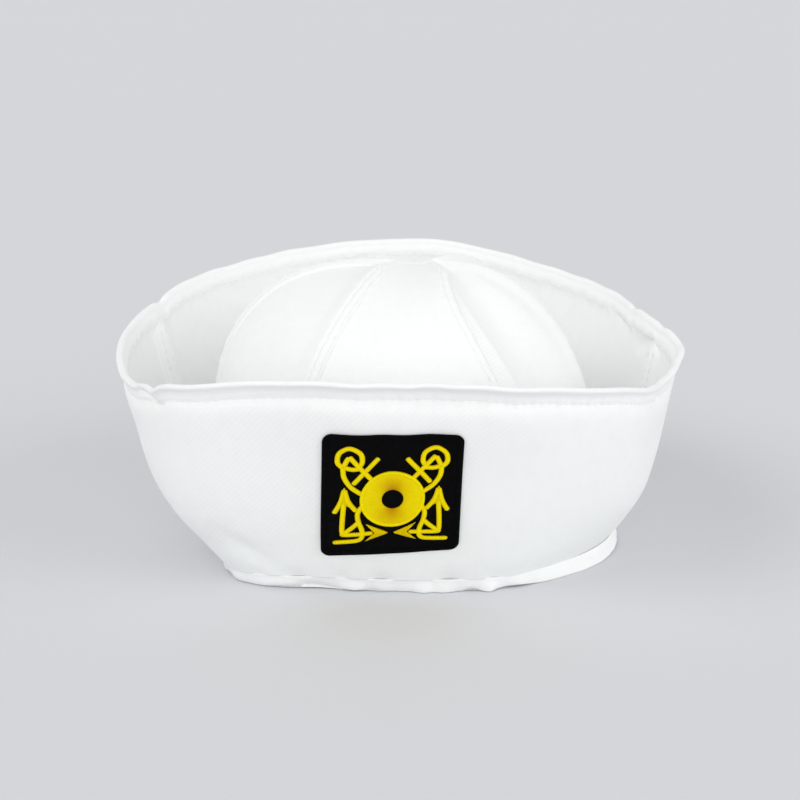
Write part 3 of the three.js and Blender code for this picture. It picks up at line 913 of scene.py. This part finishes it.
def makeEdging():
    bm = newThreadMesh()
    outline = 2 * (badge["width"] + badge["height"]) - (8 - 2 * pi) * badge["corner"]
    threads = round(outline / badge["edgePitch"])

    def shape(t, turn):
        point, outward = badgeEdge(t)
        ridge = 0.14 * abs(sin(pi * threads * t))
        across = (badge["edging"] + ridge) * cos(turn)
        if sin(turn) > 0:
            out = badge["thick"] * 0.62 + (0.95 + ridge) * sin(turn)
        else:
            out = 0.12 + 0.5 * (1 + sin(turn))
        point = point + outward * (across - badge["edging"] * 0.55)  # most of it lies on the patch
        return point.x, point.y, max(out, 0.08), t * threads, turn, 0

    satinTube(bm, threads * 4, 12, shape)
    bmesh.ops.remove_doubles(bm, verts=bm.verts, dist=mergeGap)
    dress("badgeEdging", bm, badgeCloth, "black_badge_cloth")


# Embroidery, the left half of it as lines of satin stitch, with the right half mirrored
embroidery = {
    "line": 1.05,  # half width of a line
    "raise": 1.15,  # height of a line above the patch
    "sunk": 0.1,  # mm that the threads sink into it
    "pitch": 0.52,  # mm between threads, drawn a little coarse to show
    "ring": (0.4, -1.3, 8.4, 4.15),  # life ring: middle, reach, half width
    "ringTall": 1.04,
    # height, lean of its stitches and painted amber shade, for the ring and for the cord round it
    "ringThreads": ((1.35, 0.5, 0.9), (1.5, 0.3, 0.1)),
    "ringCord": (0.5, 0.75),  # mm in from the ring's edge, half width
    "lines": {
        "stock": ((-15.2, 6.0), (-10.5, 12.0), (-5.4, 18.2)),
        "upperShank": ((-16.9, 18.9), (-12.6, 13.6), (-8.0, 8.2)),
        "anchorRing": ((-19.2, 13.5), (-21.3, 16.1), (-20.6, 20.2), (-16.8, 22.5), (-12.7, 20.4),
                       (-11.8, 16.9), (-12.6, 14.6)),
        "shackle": ((-19.0, 13.9), (-18.0, 16.3), (-16.9, 18.6)),
        "shackleFoot": ((-18.8, 13.8), (-15.7, 13.0), (-12.5, 13.4)),
        "lowerShank": ((-18.6, -17.8), (-15.2, -14.7), (-12.6, -11.9)),
        "arms": ((-18.5, -2.0), (-19.1, -11), (-19.1, -17.0), (-17.6, -18.3), (-7.0, -17.5)),
        "cable": ((-19.2, 13.8), (-18.7, 9.2), (-16.0, 4.7), (-11.6, 1.3)),
        "cableEnd": ((-11.6, -4.4), (-13.2, -8.0), (-12.8, -12.0), (-11.4, -16.2), (-11.5, -19.6),
                     (-14.0, -21.3), (-22.8, -21.9)),
        "outerBarb": ((-18.5, 3.4), (-19.9, -2.6), (-22.4, -7.8)),
        "innerBarb": ((-18.5, 3.4), (-16.9, -2.2), (-13.7, -6.8)),
    },
    # tip, the middle between the barbs, half width at the barbs, depth of the notch
    "flukes": {
        "outer": ((-18.5, 4.4), (-18.6, -4.0), 2.4, 1.6),
        "inner": ((-1.2, -17.6), (-7.4, -17.4), 4.2, 4.0),
    },
}


def smoothLine(points, t):  # a point along a smooth line through the points, and its heading
    span = t * (len(points) - 1)
    step = min(int(span), len(points) - 2)
    f = span - step
    a, b, c, d = (Vector(points[min(max(step + k, 0), len(points) - 1)]) for k in (-1, 0, 1, 2))
    heading = c - a + f * (2 * (2 * a - 5 * b + 4 * c - d) + 3 * f * (3 * b - a - 3 * c + d))
    return between(a, b, c, d, f), heading.normalized()


def satinOut(turn, height, power=1):  # mm off the brim, arched above the patch and sunk into it below
    up = sin(turn)
    arch = height * up**power if up > 0 else embroidery["sunk"] * up
    return badge["thick"] - embroidery["sunk"] + arch


def satinLine(bm, points, side):
    length = sum((Vector(b) - Vector(a)).length for a, b in zip(points, points[1:]))
    threads = max(6, round(length / embroidery["pitch"]))

    def shape(t, turn):
        where, heading = smoothLine(points, t)
        blunt = roundEnd(min(t, 1 - t) * length, embroidery["line"])
        across = embroidery["line"] * cos(turn) * blunt
        count = threads * t + 0.35 * cos(turn)  # the stitches lean across the line
        ridge = 0.11 * abs(sin(pi * count)) * blunt
        out = satinOut(turn, embroidery["raise"] * blunt + ridge)
        x, y = where.x - heading.y * across, where.y + heading.x * across
        amberShade = 0.1 * heading.x**2 + 0.32 * cos(turn) ** 4  # painted shade, most along the line's edges where the threads turn away
        return side * x, y, out, count, across, amberShade

    satinTube(bm, threads * 4, 10, shape)


def satinFluke(bm, tip, foot, half, notch, side):
    tip, foot = Vector(tip), Vector(foot)
    length = (tip - foot).length
    along = (tip - foot) / length
    threads = round((length + notch) / embroidery["pitch"])

    def shape(t, turn):
        width = cos(turn)
        ends = length * t - notch * (1 - t) * (abs(width) - 0.25)  # swallow tail at the barbs
        flare = half * (1 - t) + 0.3 * roundEnd(1 - t, 0.08)
        ridge = 0.1 * abs(sin(pi * threads * t))
        blunt = roundEnd(min(t, 1 - t) * length, 0.8)
        out = satinOut(turn, (embroidery["raise"] + ridge) * blunt)
        where = foot + along * ends + Vector((-along.y, along.x)) * flare * width
        # the flukes all get a little painted amber shade
        return side * where.x, where.y, out, threads * t, width, 0.3

    satinTube(bm, threads * 4, 16, shape)


def satinRing(bm, reach, half, height, lean, amberShade):
    x, y = embroidery["ring"][:2]
    threads = round(2 * pi * (reach + half * 0.6) / embroidery["pitch"])

    def shape(t, turn):
        angle = 2 * pi * t
        count = threads * t + lean * cos(turn)
        ridge = 0.1 * abs(sin(pi * count))
        r = reach + half * cos(turn)
        across, up = r * sin(angle), r * cos(angle) * embroidery["ringTall"]
        shaded = (0.25 + 0.75 * cos(angle) ** 4) * (0.55 - 0.45 * cos(turn))  # most above and under the hole
        return x + across, y + up, satinOut(turn, height + ridge, 0.6), count, turn, amberShade * shaded

    satinTube(bm, threads * 4, 20, shape)


def makeEmbroidery():
    bm = newThreadMesh()
    for side in (1, -1):
        for points in embroidery["lines"].values():
            satinLine(bm, points, side)
        for fluke in embroidery["flukes"].values():
            satinFluke(bm, *fluke, side)
    reach, half = embroidery["ring"][2:]
    inset, cordHalf = embroidery["ringCord"]
    ringThreads, cordThreads = embroidery["ringThreads"]
    satinRing(bm, reach, half, *ringThreads)
    satinRing(bm, reach + half - inset, cordHalf, *cordThreads)
    bmesh.ops.remove_doubles(bm, verts=bm.verts, dist=mergeGap)
    dress("badgeEmbroidery", bm, goldThread, "gold_thread", "badge_embroidery")


makePatch()
makeEdging()
makeEmbroidery()


# Stitches: along the hem on both faces, down the side seams and up both edges of each crown seam
def sewHem():
    bm = bmesh.new()
    step = 360 / brim["stitches"]
    for face in (1, -1):
        for k in range(brim["stitches"]):
            middle = k * step

            def path(t):
                angle = middle + (t - 0.5) * step
                return brimPoint(angle, 1 - brim["stitchDrop"] / brimWall(angle), face)

            def beside(t):
                angle = middle + (t - 0.5) * step
                drop = brim["stitchDrop"] - thread["aside"] * face
                return brimPoint(angle, 1 - drop / brimWall(angle), face)

            sewRow(bm, path, beside, 1)
    dress("hemStitches", bm, sewingThread, "white_twill")


def sewSides():
    bm = bmesh.new()
    for seam, way in (("rightSeam", 1), ("leftSeam", -1)):
        for past in brim["seamRows"]:

            def outside(t, more=0):
                row = mix(2, brim["plainRows"], t)
                angle = seamAngle(seam, row) - way * (past + more) * perMm
                return brimPoint(angle, brimRow(row, angle), 1)

            def inside(t, more=0):
                return lapPoint(way > 0, past + more, mix(2, brim["plainRows"], t), -1)

            sewRow(bm, outside, lambda t: outside(t, thread["aside"] * way), brim["seamStitches"])
            sewRow(bm, inside, lambda t: inside(t, -thread["aside"] * way), brim["seamStitches"])
    dress("sideSeamStitches", bm, sewingThread, "white_twill")


def sewCrown():
    bm = bmesh.new()
    for index in range(goreCount):
        for row in crown["stitchRows"]:

            def path(t, more=0):
                return gorePoint(index, mix(*crown["stitched"], t), 1, past=row + more)

            sewRow(bm, path, lambda t: path(t, -thread["aside"]), crown["stitches"])
    dress("crownStitches", bm, sewingThread, "white_twill")


sewHem()
sewSides()
sewCrown()


# Studio: a plain pale floor in a light tent whose walls are brighter than its roof, and four soft lights
studio = {
    "floor": "#DBDCDF",
    "floorHalf": 12,  # m
    "world": "#FFFFFF",
    "tent": (0.87, 0.55),  # strength at the horizon and overhead
    # where each soft light shines from, its strength, and how many degrees of the sky it fills
    "lights": {
        "key": ((-0.55, -0.75, 0.75), 0.08, 25),
        "front": ((0.1, -1, 0.1), 0.74, 50),
        "right": ((0.85, -0.4, 0.45), 0.62, 50),
        "left": ((-0.85, -0.3, 0.9), 0.6, 40),
    },
    "target": (0.78, -8.0, 54.6),  # mm
    "distance": 997.5,
    "elevation": 14,
    "lift": 3.14,  # the photograph is framed a little high
    "lens": 100.1,
    "sensor": 36,
}


def makeStudio():
    bm = bmesh.new()
    bmesh.ops.create_grid(bm, x_segments=1, y_segments=1, size=studio["floorHalf"])
    mesh = bpy.data.meshes.new("floor")
    bm.to_mesh(mesh)
    bm.free()
    material, tree, shader = newMaterial("matt paper floor", Roughness=0.9)
    place = addNode(tree, "ShaderNodeTexCoord", {})
    grain = addNode(tree, "ShaderNodeTexNoise", {
        "Vector": place.outputs["Object"], "Scale": 900, "Detail": 2})  # about 1 mm
    bump = addNode(tree, "ShaderNodeBump", {
        "Height": grain.outputs["Fac"], "Strength": 0.1, "Distance": 0.05 * mm})
    tree.links.new(bump.outputs[0], shader.inputs["Normal"])
    shader.inputs["Base Color"].default_value = hexColour(studio["floor"])
    mesh.materials.append(material)
    floor = bpy.data.objects.new("floor", mesh)
    bpy.context.collection.objects.link(floor)
    floor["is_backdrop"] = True
    world = bpy.data.worlds.new("studio")
    world.use_nodes = True
    tree = world.node_tree
    glow = tree.nodes["Background"]
    glow.inputs["Color"].default_value = hexColour(studio["world"])
    heading = addNode(tree, "ShaderNodeTexCoord", {})
    up = addNode(tree, "ShaderNodeSeparateXYZ", {"Vector": heading.outputs["Generated"]})
    low, high = studio["tent"]
    tent = addNode(tree, "ShaderNodeMapRange", {"Value": up.outputs["Z"], 3: low, 4: high})
    tree.links.new(tent.outputs[0], glow.inputs["Strength"])
    bpy.context.scene.world = world
    for name, (place, strength, spread) in studio["lights"].items():
        data = bpy.data.lights.new(name, "SUN")
        data.energy, data.angle = strength, radians(spread)
        light = bpy.data.objects.new(name, data)
        light.location = place
        light.rotation_euler = Vector(place).to_track_quat("Z", "Y").to_euler()
        bpy.context.collection.objects.link(light)
    bpy.context.scene.view_settings.view_transform = "Standard"


def makeCamera():
    data = bpy.data.cameras.new("camera")
    data.lens, data.sensor_width = studio["lens"], studio["sensor"]
    camera = bpy.data.objects.new("camera", data)
    tilt = radians(studio["elevation"])
    back, up = Vector((0, -cos(tilt), sin(tilt))), Vector((0, sin(tilt), cos(tilt)))
    target = Vector(studio["target"]) * mm
    camera.location = target + back * studio["distance"] * mm
    aim = target + up * studio["lift"] * mm
    camera.rotation_euler = (aim - camera.location).to_track_quat("-Z", "Y").to_euler()
    bpy.context.collection.objects.link(camera)
    bpy.context.scene.camera = camera


makeStudio()
makeCamera()
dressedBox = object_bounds()
print("sizes", [[round(v, 4) for v in corner] for box in (cadBox, dressedBox) for corner in box])
